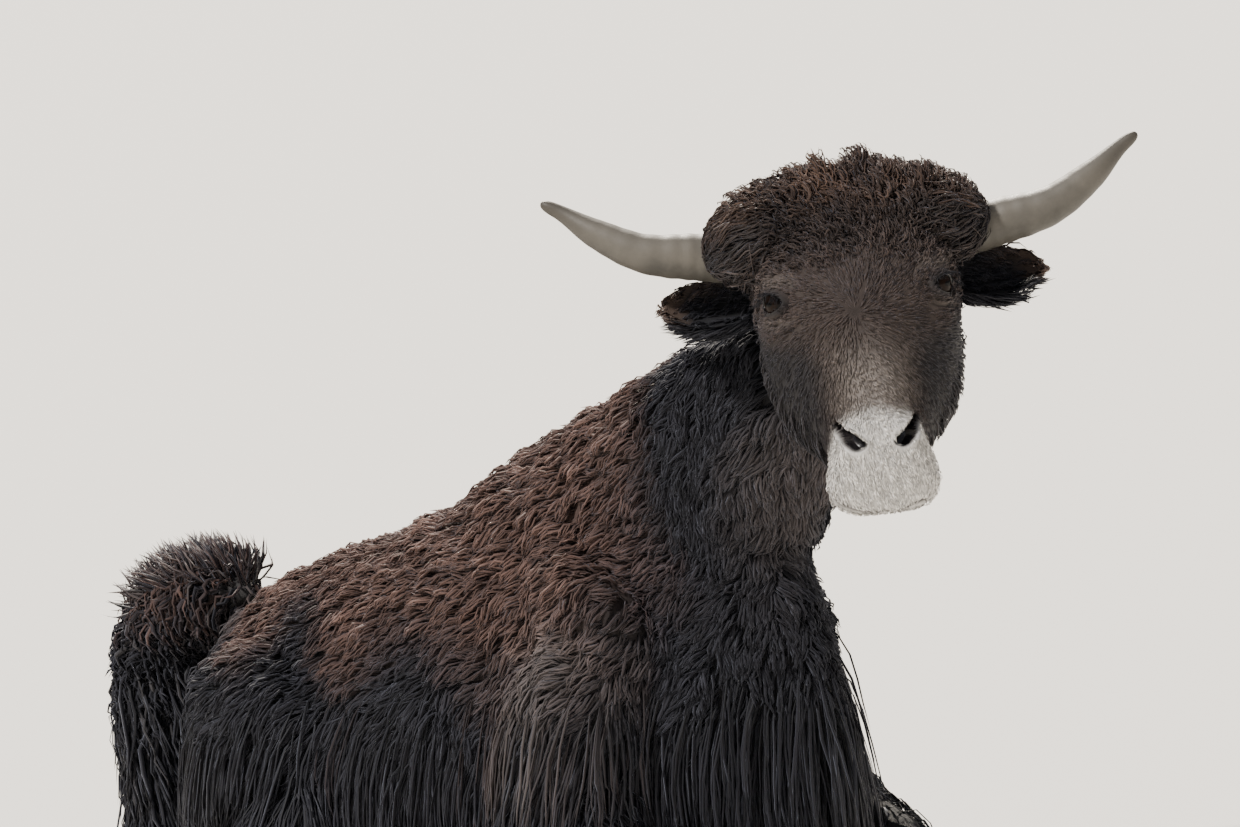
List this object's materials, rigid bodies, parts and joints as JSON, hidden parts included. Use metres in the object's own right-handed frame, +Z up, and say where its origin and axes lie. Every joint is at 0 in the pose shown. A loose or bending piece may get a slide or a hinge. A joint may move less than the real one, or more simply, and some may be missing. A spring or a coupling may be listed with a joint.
{
  "type": "young yak lying down, still display model",
  "caption": "Life-size young yak lying on its breastbone with its head turned to its right, short curved horns, curly crown and shaggy coat.",
  "frame": {"origin": "on the floor, in the middle of the flat that the trunk rests on", "axes": "+X the way the body faces, +Y the animal's left, +Z up"},
  "size_m": [1.3795, 0.5774, 0.8043],
  "materials": {
    "eye": "dark wet eye, high gloss",
    "face_hair": "short brown-grey hair, white at the muzzle",
    "ear_hair": "soft black hair",
    "horn": "smooth grey-cream keratin, slightly darker at the tip",
    "black_wool": "long black wool with a cool sheen",
    "brown_wool": "short wavy red-brown wool, black low on the flank",
    "hoof": "dark dull keratin"
  },
  "bodies": {
    "root": {"eye_left": "eye", "eye_right": "eye", "head": "face_hair", "horn_left": "horn", "ear_left": "ear_hair", "horn_right": "horn", "ear_right": "ear_hair", "neck": "black_wool", "torso": "brown_wool", "tail": "black_wool", "leg_fore_left": "black_wool", "hoof_fore_left_inner": "hoof", "hoof_fore_left_outer": "hoof", "leg_hind_left": "black_wool", "hoof_hind_left_inner": "hoof", "hoof_hind_left_outer": "hoof", "leg_fore_right": "black_wool", "hoof_fore_right_inner": "hoof", "hoof_fore_right_outer": "hoof", "leg_hind_right": "black_wool", "hoof_hind_right_inner": "hoof", "hoof_hind_right_outer": "hoof"}
  },
  "joints": []
}
